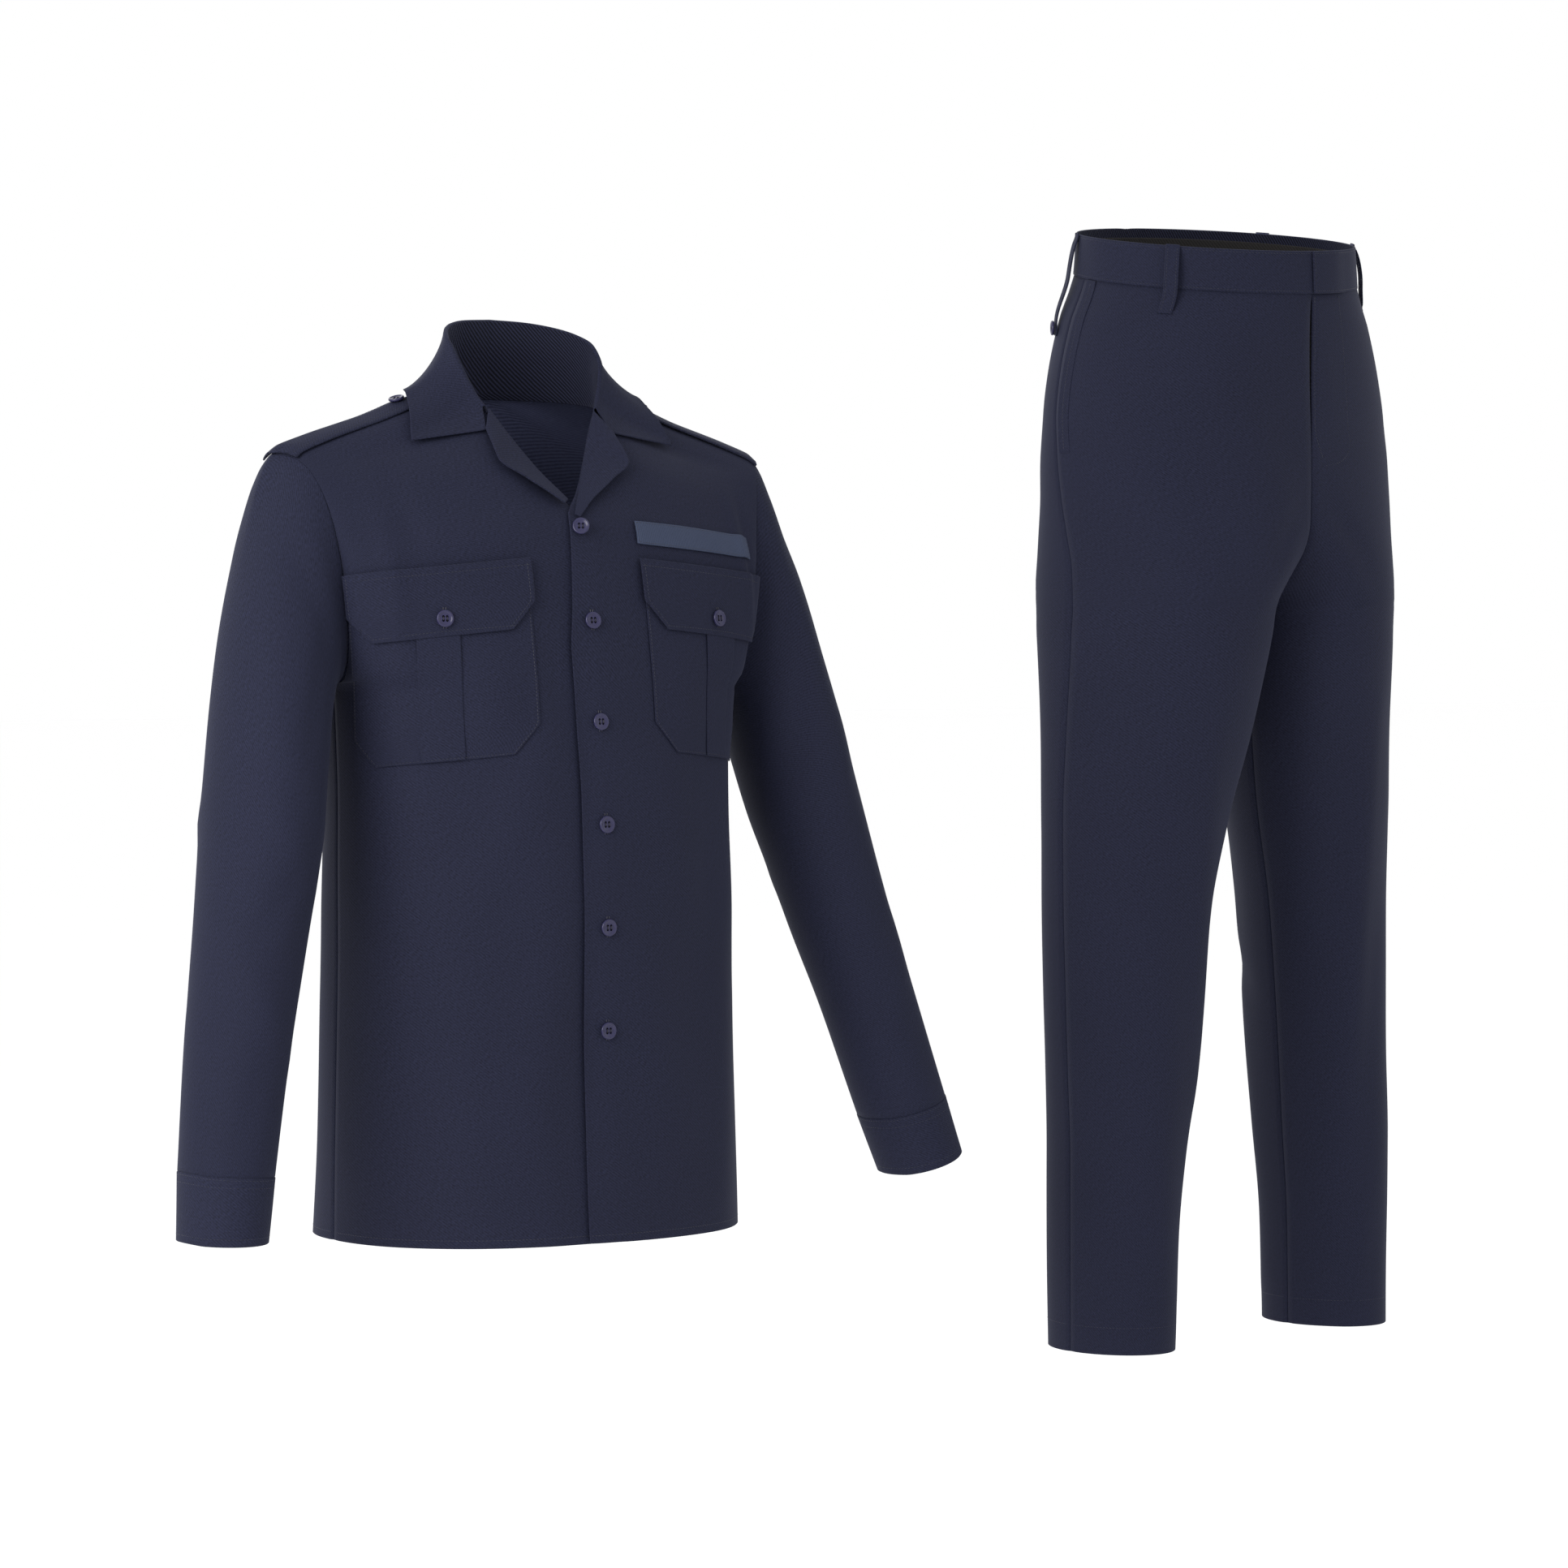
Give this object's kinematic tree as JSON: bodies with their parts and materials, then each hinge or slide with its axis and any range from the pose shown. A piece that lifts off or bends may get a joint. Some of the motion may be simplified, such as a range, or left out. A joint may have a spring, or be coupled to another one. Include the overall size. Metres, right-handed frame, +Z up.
{
  "type": "flame-resistant uniform",
  "caption": "Navy flame-resistant uniform: long-sleeved shirt with notched collar, shoulder straps and flap pockets, beside matching straight trousers, both hollow and worn in form.",
  "frame": {"origin": "on the shirt's centre plane, at the height where the wearer's shoulders carry it, under the collar", "axes": "+X towards the shirt's left (wearer's left) and the trousers beside it, -Y out of the shirt's front, +Z up"},
  "size_m": [1.3521, 0.291, 1.0595],
  "materials": {
    "navy_twill": "matte",
    "button": "glossy",
    "name_strip": "matte",
    "dark_lining": "matte"
  },
  "bodies": {
    "root": {"collar": "navy_twill", "cuff_left": "navy_twill", "cuff_right": "navy_twill", "flap_button_left": "button", "flap_button_right": "button", "flap_left": "navy_twill", "flap_right": "navy_twill", "fly_underlap": "dark_lining", "front_button_1": "button", "front_button_2": "button", "front_button_3": "button", "front_button_4": "button", "front_button_5": "button", "front_button_6": "button", "front_loop_left": "navy_twill", "front_loop_right": "navy_twill", "lapel_left": "navy_twill", "lapel_right": "navy_twill", "loop_button_left": "button", "loop_button_right": "button", "name_strip": "name_strip", "pocket_left": "navy_twill", "pocket_pleat_left": "navy_twill", "pocket_pleat_right": "navy_twill", "pocket_right": "navy_twill", "shirt_back": "navy_twill", "shirt_front_left": "navy_twill", "shirt_front_right": "navy_twill", "shoulder_strap_left": "navy_twill", "shoulder_strap_right": "navy_twill", "side_loop_left": "navy_twill", "side_loop_right": "navy_twill", "sleeve_left": "navy_twill", "sleeve_right": "navy_twill", "strap_button_left": "button", "strap_button_right": "button", "trouser_back_left": "navy_twill", "trouser_back_right": "navy_twill", "trouser_front_left": "navy_twill", "trouser_front_right": "navy_twill", "waist_curtain": "dark_lining", "waistband_left": "navy_twill", "waistband_right": "navy_twill"}
  },
  "joints": []
}
